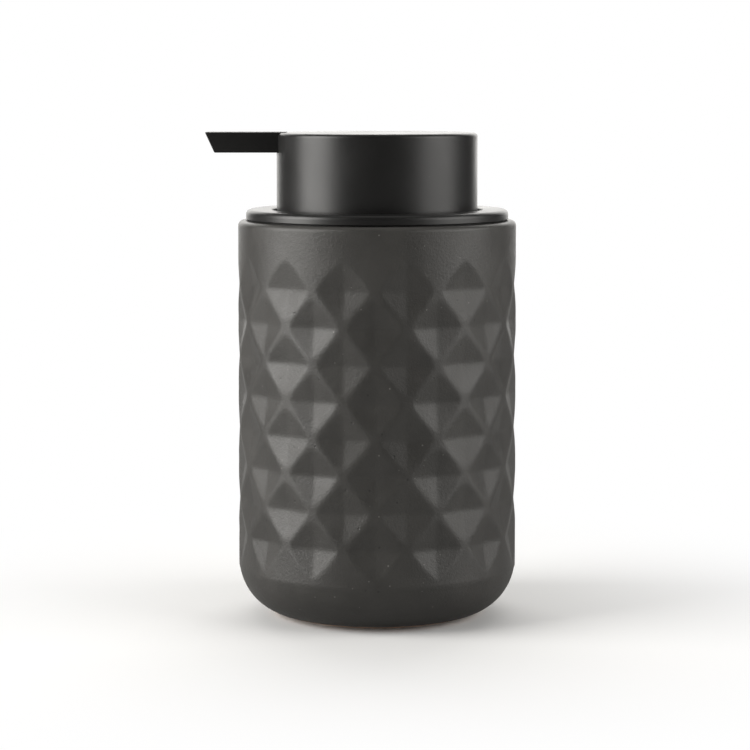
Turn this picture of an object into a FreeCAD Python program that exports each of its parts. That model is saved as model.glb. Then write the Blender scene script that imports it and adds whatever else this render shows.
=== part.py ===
import FreeCAD, Part

import math
import os

from FreeCAD import Placement, Rotation, Vector

# Soap pump dispenser: a quilted ceramic bottle with a push-in pump whose drum-shaped head
# sinks into a well in the collar. Millimetres, +Z up. The origin is the centre of the foot,
# on the surface that the bottle stands on. The spout points along -X, the front is -Y.

# ---------------------------------------------------------------- driving dimensions

# Fits
running_fit = 0.05          # radial gap of a shaft, piston or seal that slides or turns
seated_fit = 0.02           # radial gap between fixed pieces that are pushed together
ball_seat_gap = 0.04        # gap between a closed check ball and its seat

# Heights that stack up to the overall height
bottle_height = 106.75
flange_gasket_thickness = 0.25
flange_thickness = 2.7
stroke = 12.0               # how far the head is pressed down
spout_clearance = 3.2       # left under the spout when the head is pressed
spout_height = 5.45
spout_rise = 0.2            # the spout stands this far proud of the head's top

# Radii that stack up to the overall diameter
head_radius = 27.0          # at the bottom of the skirt
head_draft = 0.03           # the head is this much slimmer at its top
head_gap = 1.40             # open ring between the head and the well
well_wall = 1.5
seal_room = 1.6             # between the well's outside and the bottle's mouth
rim_width = 5.7             # ceramic rim around the mouth
bottle_draft = 0.5          # the bottle is this much wider at its foot

# Bottle
bottle_wall = 4.4
bottle_floor = 5.0
shoulder_round = 1.3
corner_rise = 14.8          # height of the elliptical lower corner
foot_radius = 24.5
foot_rise = 0.5             # bare foot that stands below the glazed corner
foot_recess_radius = 20.5
foot_recess = 0.8
cavity_corner = 12.0
mouth_depth = 15.0          # straight part of the mouth
mouth_cone = 3.0            # height of the step from the mouth to the wider cavity
mouth_chamfer = 0.6

# Relief: staggered rows of hollow four-sided diamonds
diamonds_around = 14
diamond_rows = 8
diamond_depth = 1.35
relief_top_margin = 6.95    # plain band above the top row
relief_foot_margin = 13.2   # plain band below the bottom row
relief_turn = -0.9          # degrees, the pattern is turned this much from the front
ridge_land = 0.25           # how far the ridge crossings are cut flat by the wall

# Collar
flange_overlap = 3.75       # flange beyond the mouth
flange_round = 1.3
well_edge_round = 0.5
skirt_depth = 4.0           # length of the head's skirt inside the well at rest
well_floor_gap = 2.0        # left under the skirt when the head is pressed
well_floor = 2.0
gasket_inset = 0.65         # the gasket stays this far behind the flange's edge
gasket_width = 2.4

# Mouth seal
seal_length = 7.0
seal_sleeve = 0.7
seal_lips = 3
seal_lip_height = 1.0
seal_top_gap = 1.5
seal_bead = 0.5             # ledge on the well that carries the seal

# Head
cap_wall = 1.8
cap_top = 1.5
cap_round = 1.0
core_plate = 2.0
core_plate_drop = 1.0       # between the spout's underside and the core's plate
core_boss_wall = 2.5
core_boss_length = 11.3
core_block_width = 9.0
core_block_back = 6.0
core_ribs = 6
core_rib_thickness = 1.6
core_rib_height = 4.0
core_rib_gap = 2.0          # between a rib's end and the cap's wall

# Spout
spout_reach = 46.1          # axis to the upper corner of the tip
spout_slant = 2.5           # the lower corner of the tip stands back by this much
spout_width = 11.0
spout_round = 0.3
spout_floor = 0.7           # wall under the delivery tube
spout_shoulder_width = 15.0
spout_shoulder_length = 3.3
tube_radius = 1.5
tube_bore = 1.0
tube_recess = 0.8           # the tube ends this far inside the tip
tube_socket = 6.0           # length of tube held in the core

# Pump
stem_radius = 3.5
stem_bore = 1.8
stem_grip = 9.0             # length of stem inside the core's boss
barrel_bore = 6.0
barrel_wall = 1.2
neck_wall = 2.0             # thicker wall where the nut sits
neck_length = 8.5
housing_flange_radius = 11.0
housing_flange = 1.5
housing_gasket_thickness = 0.8
nut_height = 4.7
nut_across_flats = 24.0
guide_flange_radius = 9.5
guide_flange = 1.2
guide_length = 8.0
piston_stop_gap = 0.2
piston_length = 6.5
piston_lip = 1.5
piston_waist = 0.65         # how much slimmer the piston is between its lips
rod_flange = 2.5
rod_flange_gap = 0.7        # between the rod's flange and the barrel
rod_bore = 1.1
rod_spigot = 6.0
rod_tail = 10.0
rod_tail_gap = 0.75         # between the rod's tail and the spring

# Return spring
spring_pressed = 15.0       # length with the head pressed
spring_wire = 0.9
spring_gap = 0.95           # between the spring and the barrel
spring_turns = 9

# Valves and dip tube
outlet_ball_radius = 2.6
outlet_ball_lift = 1.2
inlet_ball_radius = 2.4
inlet_ball_lift = 1.5
ball_side_gap = 0.6
ball_stop_gap = 0.2
retainer_thickness = 2.0
retainer_holes = 4
retainer_hole_radius = 0.9
retainer_hole_circle = 2.0
inlet_throat = 1.6
inlet_throat_length = 1.0
dip_tube_radius = 3.0
dip_tube_wall = 0.7
dip_socket = 7.5
dip_socket_wall = 1.6
dip_floor_gap = 1.8
dip_slant = 2.0             # the cut at the foot of the tube rises by this much

# ---------------------------------------------------------------- sizes that follow

well_radius = head_radius + head_gap
well_outside = well_radius + well_wall
mouth_radius = well_outside + seal_room
bottle_top_radius = mouth_radius + rim_width
bottle_low_radius = bottle_top_radius + bottle_draft
flange_radius = mouth_radius + flange_overlap

flange_bottom = bottle_height + flange_gasket_thickness
flange_top = flange_bottom + flange_thickness
head_top = flange_top + stroke + spout_clearance + spout_height - spout_rise
skirt_bottom = flange_top - skirt_depth
well_floor_top = skirt_bottom - stroke - well_floor_gap
well_floor_bottom = well_floor_top - well_floor

cap_inside = head_radius - cap_wall
cap_under = head_top - cap_top
spout_top = head_top + spout_rise
spout_bottom = spout_top - spout_height
channel_height = spout_bottom + spout_floor + tube_radius
core_plate_top = spout_bottom - core_plate_drop
core_plate_bottom = core_plate_top - core_plate
boss_bottom = core_plate_bottom - core_boss_length
stem_top = boss_bottom + stem_grip
spout_notch = head_radius - head_draft - cap_wall - 0.5 * cap_wall

neck_outside = barrel_bore + neck_wall
barrel_outside = barrel_bore + barrel_wall
housing_flange_bottom = well_floor_top + housing_gasket_thickness
housing_top = housing_flange_bottom + housing_flange
guide_bottom = housing_top - guide_length
piston_top = guide_bottom - piston_stop_gap
piston_bottom = piston_top - piston_length
rod_flange_radius = barrel_bore - rod_flange_gap
spring_top = piston_bottom - rod_flange
spring_bottom = spring_top - spring_pressed - stroke
retainer_bottom = spring_bottom - retainer_thickness
spring_radius = barrel_bore - spring_gap - spring_wire / 2
rod_tail_radius = spring_radius - spring_wire / 2 - rod_tail_gap

ball_root = math.sqrt(2.0)  # a ball in a 45 degree seat stands this many radii above the seat's point
outlet_ball_height = stem_top - outlet_ball_radius + ball_root * (outlet_ball_radius + ball_seat_gap)
inlet_ball_height = retainer_bottom - ball_stop_gap - inlet_ball_lift - inlet_ball_radius
inlet_chamber_radius = inlet_ball_radius + ball_side_gap
inlet_seat_point = inlet_ball_height - ball_root * (inlet_ball_radius + ball_seat_gap)
inlet_throat_bottom = inlet_seat_point + inlet_throat - inlet_throat_length
housing_bottom = inlet_throat_bottom - dip_socket
dip_socket_outside = dip_tube_radius + dip_socket_wall

relief_top = bottle_height - relief_top_margin
row_pitch = (relief_top - relief_foot_margin) / (diamond_rows + 1)
column_angle = 180.0 / diamonds_around


# ---------------------------------------------------------------- helpers

def rounded_wire(corners):
    """Closed wire in the XZ plane through (x, z) or (x, z, round) corners."""
    points = [Vector(corner[0], 0, corner[1]) for corner in corners]
    rounds = [corner[2] if len(corner) > 2 else 0.0 for corner in corners]
    arcs = []
    for i, (point, radius) in enumerate(zip(points, rounds)):
        before = (points[i - 1] - point).normalize()
        after = (points[(i + 1) % len(points)] - point).normalize()
        half = before.getAngle(after) / 2
        reach = radius / math.tan(half)
        middle = point + (before + after).normalize() * (radius / math.sin(half) - radius)
        arcs.append((point + before * reach, middle, point + after * reach))
    edges = []
    for i, (start, middle, end) in enumerate(arcs):
        if rounds[i] > 0:
            edges.append(Part.Arc(start, middle, end).toShape())
        edges.append(Part.LineSegment(end, arcs[(i + 1) % len(arcs)][0]).toShape())
    return Part.Wire(edges)


def turned(corners):
    """Solid of revolution about Z of a rounded outline."""
    return Part.Face(rounded_wire(corners)).revolve(Vector(0, 0, 0), Vector(0, 0, 1), 360)


def ring(inner, outer, low, high):
    """Plain ring or disc about Z."""
    return turned([(inner, low), (outer, low), (outer, high), (inner, high)])


def block(low, high):
    """Box from its lowest to its highest corner."""
    size = Vector(*high) - Vector(*low)
    return Part.makeBox(size.x, size.y, size.z, Vector(*low))


def around(shape, count):
    """The shape repeated evenly about Z."""
    copies = []
    for i in range(count):
        copy = shape.copy()
        copy.rotate(Vector(0, 0, 0), Vector(0, 0, 1), 360.0 * i / count)
        copies.append(copy)
    return copies


def front_point(radius, angle, height):
    """Point at a radius and an angle in degrees from the front, positive towards +X."""
    turn = math.radians(angle)
    return Vector(radius * math.sin(turn), -radius * math.cos(turn), height)


def wall_radius(height):
    """Radius of the bottle's plain outer wall at a height."""
    return bottle_low_radius - bottle_draft * height / bottle_height


# ---------------------------------------------------------------- bottle

def bottle_body():
    """Outside of the bottle before the relief is cut."""
    corner_low = Vector(foot_radius, 0, foot_rise)
    corner_high = Vector(bottle_low_radius, 0, foot_rise + corner_rise)
    centre = Vector(foot_radius, 0, foot_rise + corner_rise)
    longer, shorter = sorted((corner_high, corner_low), key=lambda end: -(end - centre).Length)
    ellipse = Part.Ellipse(longer, shorter, centre)
    corner = Part.ArcOfEllipse(ellipse, 0, math.pi / 2).toShape()
    shoulder_low = Vector(bottle_top_radius, 0, bottle_height - shoulder_round)
    shoulder_high = Vector(bottle_top_radius - shoulder_round, 0, bottle_height)
    bulge = shoulder_round * math.sin(math.radians(45))
    shoulder_middle = Vector(shoulder_high.x + bulge, 0, shoulder_low.z + bulge)
    foot = [
        corner_low,
        Vector(foot_radius, 0, 0),
        Vector(foot_recess_radius, 0, 0),
        Vector(foot_recess_radius, 0, foot_recess),
        Vector(0, 0, foot_recess),
        Vector(0, 0, bottle_height),
        shoulder_high,
    ]
    edges = [Part.LineSegment(a, b).toShape() for a, b in zip(foot, foot[1:])]
    edges.append(Part.Arc(shoulder_high, shoulder_middle, shoulder_low).toShape())
    edges.append(Part.LineSegment(shoulder_low, corner_high).toShape())
    edges.append(corner)
    wire = Part.Wire(Part.__sortEdges__(edges))
    return Part.Face(wire).revolve(Vector(0, 0, 0), Vector(0, 0, 1), 360)


def bottle_cavity():
    """Room for the soap and the mouth that the pump is pushed into."""
    cavity_low = bottle_low_radius - bottle_wall
    cavity_high = bottle_top_radius - bottle_wall
    mouth_bottom = bottle_height - mouth_depth
    above = bottle_height + mouth_chamfer
    return turned([
        (0, bottle_floor),
        (cavity_low, bottle_floor, cavity_corner),
        (cavity_high, mouth_bottom - mouth_cone, mouth_cone / 2),
        (mouth_radius, mouth_bottom, mouth_cone / 2),
        (mouth_radius, bottle_height - mouth_chamfer),
        (mouth_radius + 2 * mouth_chamfer, above),
        (0, above),
    ])


def diamond_cutter(angle, height):
    """Four-sided pyramid, point inwards, that hollows out one diamond of the relief."""
    point = front_point(wall_radius(height) - diamond_depth, angle, height)
    corners = []
    for side, rise in ((0, 1), (1, 0), (0, -1), (-1, 0)):
        level = height + rise * row_pitch
        corner = front_point(wall_radius(level) + ridge_land, angle + side * column_angle, level)
        corners.append(point + (corner - point) * 1.5)
    top, right, bottom, left = corners
    triangles = [(point, top, right), (point, right, bottom), (point, bottom, left)]
    triangles += [(point, left, top), (top, left, bottom), (top, bottom, right)]
    faces = [Part.Face(Part.makePolygon([a, b, c, a])) for a, b, c in triangles]
    return Part.Solid(Part.Shell(faces))


def bottle():
    """Ceramic bottle with staggered rows of hollow diamonds."""
    cutters = []
    for row in range(diamond_rows):
        height = relief_top - (row + 1) * row_pitch
        first = relief_turn + (column_angle if row % 2 == 0 else 0.0)
        for column in range(diamonds_around):
            cutters.append(diamond_cutter(first + 2 * column_angle * column, height))
    return bottle_body().cut(cutters).cut(bottle_cavity())


# ---------------------------------------------------------------- collar and its seals

def collar():
    """Flange over the mouth, with the well that the head sinks into."""
    seal_bottom = flange_bottom - seal_top_gap - seal_length
    return turned([
        (neck_outside + running_fit, well_floor_bottom),
        (well_outside, well_floor_bottom, 1.0),
        (well_outside, seal_bottom - 2 * seal_bead),
        (well_outside + seal_bead, seal_bottom - seal_bead),
        (well_outside + seal_bead, seal_bottom),
        (well_outside, seal_bottom),
        (well_outside, flange_bottom),
        (flange_radius, flange_bottom, 0.3),
        (flange_radius, flange_top, flange_round),
        (well_radius, flange_top, well_edge_round),
        (well_radius, well_floor_top, 1.0),
        (neck_outside + running_fit, well_floor_top),
    ])


def flange_gasket():
    """Flat ring between the flange and the ceramic rim."""
    outside = flange_radius - gasket_inset
    return ring(outside - gasket_width, outside, bottle_height, flange_bottom)


def mouth_seal():
    """Soft sleeve with lips that grip the bottle's mouth."""
    top = flange_bottom - seal_top_gap
    bottom = top - seal_length
    inside = well_outside + seated_fit
    sleeve = inside + seal_sleeve
    lip = mouth_radius - running_fit
    pitch = (seal_length - seal_lip_height) / (seal_lips - 1)
    corners = [(inside, bottom)]
    for i in range(seal_lips):
        low = bottom + i * pitch
        corners += [(sleeve, low), (lip, low + 0.3 * seal_lip_height)]
        corners += [(lip, low + 0.7 * seal_lip_height), (sleeve, low + seal_lip_height)]
    corners.append((inside, top))
    return turned(corners)


# ---------------------------------------------------------------- fixed pump pieces

def pump_housing():
    """Barrel of the pump, from its top flange to the socket of the dip tube."""
    cone_top = retainer_bottom
    cone_bottom = cone_top - (barrel_outside - dip_socket_outside)
    neck_bottom = housing_flange_bottom - neck_length
    chamber_seat = inlet_seat_point + inlet_chamber_radius
    return turned([
        (barrel_bore, housing_top),
        (housing_flange_radius, housing_top, 0.4),
        (housing_flange_radius, housing_flange_bottom),
        (neck_outside, housing_flange_bottom),
        (neck_outside, neck_bottom, 0.3),
        (barrel_outside, neck_bottom),
        (barrel_outside, cone_top),
        (dip_socket_outside, cone_bottom),
        (dip_socket_outside, housing_bottom),
        (dip_tube_radius + seated_fit, housing_bottom),
        (dip_tube_radius + seated_fit, inlet_throat_bottom),
        (inlet_throat, inlet_throat_bottom),
        (inlet_throat, inlet_seat_point + inlet_throat),
        (inlet_chamber_radius, chamber_seat),
        (inlet_chamber_radius, retainer_bottom),
        (barrel_bore, retainer_bottom),
    ])


def housing_gasket():
    """Washer between the housing's flange and the floor of the well."""
    return ring(neck_outside + seated_fit, housing_flange_radius, well_floor_top, housing_flange_bottom)


def lock_nut():
    """Six-sided nut that clamps the housing under the floor of the well."""
    bottom = well_floor_bottom - nut_height
    corner_radius = nut_across_flats / 2 / math.cos(math.radians(30))
    corners = [front_point(corner_radius, 60 * i, bottom) for i in range(7)]
    prism = Part.Face(Part.makePolygon(corners)).extrude(Vector(0, 0, nut_height))
    chamfer = corner_radius - nut_across_flats / 2
    cone = turned([
        (0, bottom),
        (nut_across_flats / 2, bottom),
        (corner_radius, bottom + chamfer),
        (corner_radius, bottom + nut_height),
        (0, bottom + nut_height),
    ])
    hole = Part.makeCylinder(neck_outside + seated_fit, nut_height, Vector(0, 0, bottom))
    return prism.common(cone).cut(hole)


def stem_guide():
    """Bush in the top of the housing that guides the stem and stops the piston."""
    return turned([
        (stem_radius + running_fit, guide_bottom),
        (barrel_bore - seated_fit, guide_bottom, 0.3),
        (barrel_bore - seated_fit, housing_top),
        (guide_flange_radius, housing_top),
        (guide_flange_radius, housing_top + guide_flange, 0.4),
        (stem_radius + running_fit, housing_top + guide_flange),
    ])


def ball_retainer():
    """Pierced disc that keeps the inlet ball near its seat and carries the spring."""
    disc = ring(0, barrel_bore - seated_fit, retainer_bottom, spring_bottom)
    hole = Part.makeCylinder(
        retainer_hole_radius,
        retainer_thickness,
        Vector(retainer_hole_circle, 0, retainer_bottom),
    )
    return disc.cut(around(hole, retainer_holes))


def inlet_ball():
    """Ball that shuts the way back down the dip tube."""
    return Part.makeSphere(inlet_ball_radius, Vector(0, 0, inlet_ball_height))


def dip_tube():
    """Tube from the housing down to the floor of the bottle, cut at a slant."""
    bottom = bottle_floor + dip_floor_gap
    top = inlet_throat_bottom
    tube = ring(dip_tube_radius - dip_tube_wall, dip_tube_radius, bottom, top)
    wedge = Part.Face(Part.makePolygon([
        Vector(-dip_tube_radius, -dip_tube_radius, bottom),
        Vector(dip_tube_radius, -dip_tube_radius, bottom),
        Vector(dip_tube_radius, -dip_tube_radius, bottom + dip_slant),
        Vector(-dip_tube_radius, -dip_tube_radius, bottom),
    ])).extrude(Vector(0, 2 * dip_tube_radius, 0))
    return tube.cut(wedge)


def return_spring():
    """Open coil spring between the retainer and the piston rod."""
    wire_radius = spring_wire / 2
    height = spring_top - spring_bottom - spring_wire
    pitch = height / spring_turns
    path = Part.makeHelix(pitch, height, spring_radius)
    along = Vector(0, 2 * math.pi * spring_radius, pitch)
    section = Part.Wire(Part.makeCircle(wire_radius, Vector(spring_radius, 0, 0), along))
    coil = Part.Wire(path).makePipeShell([section], True, True)
    coil.Placement = Placement(Vector(0, 0, spring_bottom + wire_radius), Rotation())
    return coil


# ---------------------------------------------------------------- plunger

def stem():
    """Hollow stem from the piston up into the head, with the outlet seat at its top."""
    return turned([
        (stem_bore, piston_bottom),
        (stem_radius, piston_bottom),
        (stem_radius, stem_top),
        (outlet_ball_radius, stem_top),
        (stem_bore, stem_top - outlet_ball_radius + stem_bore),
    ])


def piston():
    """Piston with a lip at each end."""
    outside = barrel_bore - running_fit
    waist = outside - piston_waist
    slope = piston_lip + piston_waist
    return turned([
        (stem_radius, piston_bottom),
        (outside, piston_bottom, 0.2),
        (outside, piston_bottom + piston_lip),
        (waist, piston_bottom + slope),
        (waist, piston_top - slope),
        (outside, piston_top - piston_lip),
        (outside, piston_top, 0.2),
        (stem_radius, piston_top),
    ])


def piston_rod():
    """Plug in the stem's foot that holds the piston on and carries the spring."""
    return turned([
        (rod_bore, spring_top - rod_tail),
        (rod_tail_radius, spring_top - rod_tail, 0.6),
        (rod_tail_radius, spring_top),
        (rod_flange_radius, spring_top, 0.3),
        (rod_flange_radius, piston_bottom),
        (stem_bore, piston_bottom),
        (stem_bore, piston_bottom + rod_spigot),
        (rod_bore, piston_bottom + rod_spigot),
    ])


def outlet_ball():
    """Ball that keeps soap in the head when the piston goes up."""
    return Part.makeSphere(outlet_ball_radius, Vector(0, 0, outlet_ball_height))


# ---------------------------------------------------------------- head

def spout_bar(inner_x, width, low, high):
    """Straight bar along -X from the spout's slanted tip to inner_x."""
    slant = spout_slant / spout_height
    profile = [
        Vector(-spout_reach + slant * (spout_top - low), 0, low),
        Vector(inner_x, 0, low),
        Vector(inner_x, 0, high),
        Vector(-spout_reach + slant * (spout_top - high), 0, high),
    ]
    face = Part.Face(Part.makePolygon(profile + profile[:1]))
    face.translate(Vector(0, -width / 2, 0))
    return face.extrude(Vector(0, width, 0))


def head_cap():
    """Drum-shaped cap, open below, notched at its rim for the spout."""
    top_radius = head_radius - head_draft
    shell = turned([
        (0, head_top),
        (top_radius, head_top, cap_round),
        (head_radius, skirt_bottom, 0.4),
        (cap_inside, skirt_bottom, 0.4),
        (cap_inside, cap_under),
        (0, cap_under),
    ])
    side = spout_width / 2 + seated_fit
    notch = block(
        (-head_radius, -side, spout_bottom - seated_fit),
        (-spout_notch, side, head_top),
    )
    return shell.cut(notch)


def head_core():
    """Moulding inside the cap that grips the stem and leads the soap to the spout."""
    boss_radius = stem_radius + running_fit + core_boss_wall
    chamber_radius = outlet_ball_radius + ball_side_gap
    chamber_top = outlet_ball_height + outlet_ball_radius + outlet_ball_lift + ball_stop_gap
    plate_radius = cap_inside - seated_fit
    tube_end = tube_socket + chamber_radius
    body = turned([
        (0, boss_bottom),
        (boss_radius, boss_bottom, 0.5),
        (boss_radius, core_plate_bottom),
        (plate_radius, core_plate_bottom),
        (plate_radius, core_plate_top),
        (0, core_plate_top),
    ])
    side = core_block_width / 2
    body = body.fuse(block((-tube_end, -side, core_plate_bottom), (core_block_back, side, cap_under)))
    rib_end = cap_inside - core_rib_gap
    rib = block(
        (stem_radius + core_boss_wall, -core_rib_thickness / 2, core_plate_bottom - core_rib_height),
        (rib_end, core_rib_thickness / 2, core_plate_bottom),
    )
    body = body.fuse(around(rib, core_ribs)).removeSplitter()
    along = Vector(-1, 0, 0)
    centre = Vector(0, 0, channel_height)
    grip = stem_radius + running_fit
    bores = [
        Part.makeCylinder(grip, stem_grip, Vector(0, 0, boss_bottom)),
        Part.makeCylinder(chamber_radius, chamber_top - stem_top, Vector(0, 0, stem_top)),
        Part.makeCylinder(tube_bore, channel_height - stem_top, Vector(0, 0, stem_top)),
        Part.makeCylinder(tube_bore, tube_end, centre, along),
        Part.makeCylinder(tube_radius + seated_fit, tube_socket, centre + along * chamber_radius, along),
    ]
    return body.cut(bores)


def spout():
    """Flat spout let into the cap's rim, its top just proud of the cap's."""
    bar = spout_bar(-spout_notch - seated_fit, spout_width, spout_bottom, spout_top)
    tip_edges = [
        edge for edge in bar.Edges
        if edge.BoundBox.XMax < -spout_notch - 2 * seated_fit or edge.BoundBox.XLength > spout_height
    ]
    bar = bar.makeFillet(spout_round, tip_edges)
    half = spout_shoulder_width / 2
    shoulder_x = -math.sqrt((cap_inside - seated_fit) ** 2 - half ** 2)
    root_x = shoulder_x + spout_shoulder_length
    side = spout_width / 2
    tongue = block((-spout_notch - 1.0, -side, spout_bottom), (root_x, side, cap_under))
    shoulder = block((shoulder_x, -half, spout_bottom), (root_x, half, cap_under))
    body = bar.fuse([tongue, shoulder]).removeSplitter()
    bore = Part.makeCylinder(
        tube_radius + seated_fit,
        spout_reach,
        Vector(0, 0, channel_height),
        Vector(-1, 0, 0),
    )
    return body.cut(bore)


def delivery_tube():
    """Soap channel from the core to the tip of the spout."""
    start = outlet_ball_radius + ball_side_gap
    tip = spout_reach - spout_slant * (head_top - channel_height) / spout_height - tube_recess
    along = Vector(-1, 0, 0)
    origin = Vector(-start, 0, channel_height)
    outer = Part.makeCylinder(tube_radius, tip - start, origin, along)
    return outer.cut(Part.makeCylinder(tube_bore, tip - start, origin, along))


# ---------------------------------------------------------------- output

NODES = [
    bottle,
    collar,
    flange_gasket,
    mouth_seal,
    pump_housing,
    housing_gasket,
    lock_nut,
    stem_guide,
    ball_retainer,
    inlet_ball,
    dip_tube,
    return_spring,
    stem,
    piston,
    piston_rod,
    outlet_ball,
    head_cap,
    head_core,
    spout,
    delivery_tube,
]

os.makedirs("parts", exist_ok=True)
for make in NODES:
    shape = make()
    print(make.__name__, "valid" if shape.isValid() else "NOT VALID",
          "solids", len(shape.Solids), "volume", round(shape.Volume, 1))
    shape.exportStep("parts/" + make.__name__ + ".step")
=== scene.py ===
import functools
import math

import bmesh
import bpy
import numpy as np
from bpy.props import FloatProperty, FloatVectorProperty, IntProperty, PointerProperty
from mathutils import Matrix, Vector, noise


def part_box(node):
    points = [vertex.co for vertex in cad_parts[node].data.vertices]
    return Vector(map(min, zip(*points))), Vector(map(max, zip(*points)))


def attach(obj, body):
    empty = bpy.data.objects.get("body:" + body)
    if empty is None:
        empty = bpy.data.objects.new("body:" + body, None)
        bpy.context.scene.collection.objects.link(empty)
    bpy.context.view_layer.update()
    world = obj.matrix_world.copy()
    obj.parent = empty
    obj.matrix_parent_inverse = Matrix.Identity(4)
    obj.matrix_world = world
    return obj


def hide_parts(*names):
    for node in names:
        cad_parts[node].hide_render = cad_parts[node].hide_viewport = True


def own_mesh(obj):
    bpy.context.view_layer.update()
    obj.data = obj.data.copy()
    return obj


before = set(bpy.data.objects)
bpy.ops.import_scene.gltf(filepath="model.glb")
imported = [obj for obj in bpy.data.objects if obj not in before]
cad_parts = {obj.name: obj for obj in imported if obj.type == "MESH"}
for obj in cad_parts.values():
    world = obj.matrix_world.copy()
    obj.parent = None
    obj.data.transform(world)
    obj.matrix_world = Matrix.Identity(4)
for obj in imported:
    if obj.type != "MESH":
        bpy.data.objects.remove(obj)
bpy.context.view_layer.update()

bl_info = {
    "name": "Soap Pump Dispenser",
    "version": (1, 0, 0),
    "blender": (4, 5, 0),
    "location": "3D View > Sidebar > Dispenser",
    "description": "Quilted ceramic soap dispenser with a push-in pump, built around its CAD frame",
    "category": "Object",
}

MM = 0.001


# ---------------------------------------------------------------- places from the frame

@functools.cache
def low(node):
    """Lowest height of a CAD node."""
    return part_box(node)[0].z


@functools.cache
def high(node):
    """Highest height of a CAD node."""
    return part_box(node)[1].z


@functools.cache
def reach(node):
    """Outer radius of a round CAD node."""
    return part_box(node)[1].y


@functools.cache
def radii_at(node, height):
    """Smallest and largest radius of a CAD node's points at a height."""
    points = [v.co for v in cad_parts[node].data.vertices]
    level = [p.xy.length for p in points if abs(p.z - height) < 0.02 * MM]
    return min(level), max(level)


# ---------------------------------------------------------------- settings

class BottleSettings(bpy.types.PropertyGroup):
    diamonds_around: IntProperty(
        name="Diamonds Around",
        description="Diamonds in one row of the relief",
        default=14, min=3,
    )
    diamond_rows: IntProperty(
        name="Rows",
        description="Staggered rows of diamonds",
        default=8, min=1,
    )
    diamond_depth: FloatProperty(
        name="Depth",
        description="Depth of a diamond's middle below the wall",
        default=1.35 * MM, unit="LENGTH",
    )
    plain_top: FloatProperty(
        name="Plain Band Above",
        description="Height of the plain band above the relief",
        default=6.95 * MM, unit="LENGTH",
    )
    plain_foot: FloatProperty(
        name="Plain Band Below",
        description="Height of the plain band below the relief",
        default=13.2 * MM, unit="LENGTH",
    )
    pattern_turn: FloatProperty(
        name="Pattern Turn",
        description="Turn of the relief away from the front",
        default=math.radians(-0.9), subtype="ANGLE",
    )
    ridge_softness: FloatProperty(
        name="Ridge Softness",
        description="How far the glaze rounds the ridges off",
        default=0.11 * MM, unit="LENGTH",
    )
    valley_softness: FloatProperty(
        name="Valley Softness",
        description="How far the glaze fills the valleys",
        default=0.35 * MM, unit="LENGTH",
    )
    ridge_land: FloatProperty(
        name="Ridge Land",
        description="How far the ridges would stand out if the wall did not cut them flat",
        default=0.34 * MM, unit="LENGTH",
    )
    waviness: FloatProperty(
        name="Waviness",
        description="How far the fired facets stray from their true shape",
        default=0.06 * MM, unit="LENGTH",
    )
    cell_steps: IntProperty(
        name="Mesh Steps",
        description="Mesh steps across half a diamond",
        default=16, min=4,
    )
    wall: FloatProperty(
        name="Wall",
        description="Thickness of the ceramic wall at the ridges",
        default=4.4 * MM, unit="LENGTH",
    )
    shoulder: FloatProperty(
        name="Shoulder Round",
        description="Radius of the round between the wall and the rim",
        default=1.3 * MM, unit="LENGTH",
    )
    floor: FloatProperty(
        name="Floor",
        description="Height of the floor inside",
        default=5.0 * MM, unit="LENGTH",
    )
    corner_rise: FloatProperty(
        name="Corner Rise",
        description="Height of the rounded lower corner",
        default=14.8 * MM, unit="LENGTH",
    )
    glaze: FloatVectorProperty(
        name="Glaze",
        description="Colour of the satin glaze",
        default=(0.0430, 0.0413, 0.0383), subtype="COLOR",
    )
    clay: FloatVectorProperty(
        name="Clay",
        description="Colour of the bare clay at the foot",
        default=(0.60, 0.44, 0.35), subtype="COLOR",
    )


class PumpSettings(bpy.types.PropertyGroup):
    black: FloatVectorProperty(
        name="Black",
        description="Colour of the black mouldings",
        default=(0.0070, 0.0068, 0.0066), subtype="COLOR",
    )
    rubber: FloatVectorProperty(
        name="Silicone",
        description="Colour of the seals",
        default=(0.010, 0.010, 0.010), subtype="COLOR",
    )
    natural: FloatVectorProperty(
        name="Natural Plastic",
        description="Colour of the milky uncoloured mouldings",
        default=(0.74, 0.76, 0.76), subtype="COLOR",
    )
    steel: FloatVectorProperty(
        name="Steel",
        description="Colour of the stainless spring and balls",
        default=(0.58, 0.57, 0.55), subtype="COLOR",
    )
    cap_wall: FloatProperty(
        name="Cap Wall",
        description="Wall thickness of the press head",
        default=1.5 * MM, unit="LENGTH",
    )
    spout_gap: FloatProperty(
        name="Spout Gap",
        description="Open seam between the spout and the press head",
        default=0.12 * MM, unit="LENGTH",
    )
    spring_turns: IntProperty(
        name="Spring Turns",
        description="Open turns of the return spring",
        default=8, min=2,
    )


class StudioSettings(bpy.types.PropertyGroup):
    distance: FloatProperty(
        name="Camera Distance",
        description="Level distance from the bottle's axis to the camera",
        default=0.66625, unit="LENGTH",
    )
    aside: FloatProperty(
        name="Camera Offset",
        description="How far the camera stands to the right of the bottle's axis",
        default=-0.57 * MM, unit="LENGTH",
    )
    eye_height: FloatProperty(
        name="Camera Height",
        description="Height of the camera above the floor",
        default=0.14199, unit="LENGTH",
    )
    tilt: FloatProperty(
        name="Camera Tilt",
        description="How far the camera looks down",
        default=0.11553, subtype="ANGLE",
    )
    lens: FloatProperty(
        name="Lens",
        description="Focal length of the camera in millimetres",
        default=118.66,
    )
    left: FloatProperty(
        name="Left Softbox",
        description="Brightness of the softbox on the left",
        default=8.0,
    )
    right: FloatProperty(
        name="Right Softbox",
        description="Brightness of the softbox on the right",
        default=3.7,
    )
    back: FloatProperty(
        name="Back Panel",
        description="Brightness of the white panel behind",
        default=2.8,
    )
    overhead: FloatProperty(
        name="Overhead",
        description="Brightness of the overhead panel",
        default=0.5,
    )
    ambient: FloatProperty(
        name="Ambient",
        description="Brightness of the room",
        default=0.06,
    )


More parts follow.
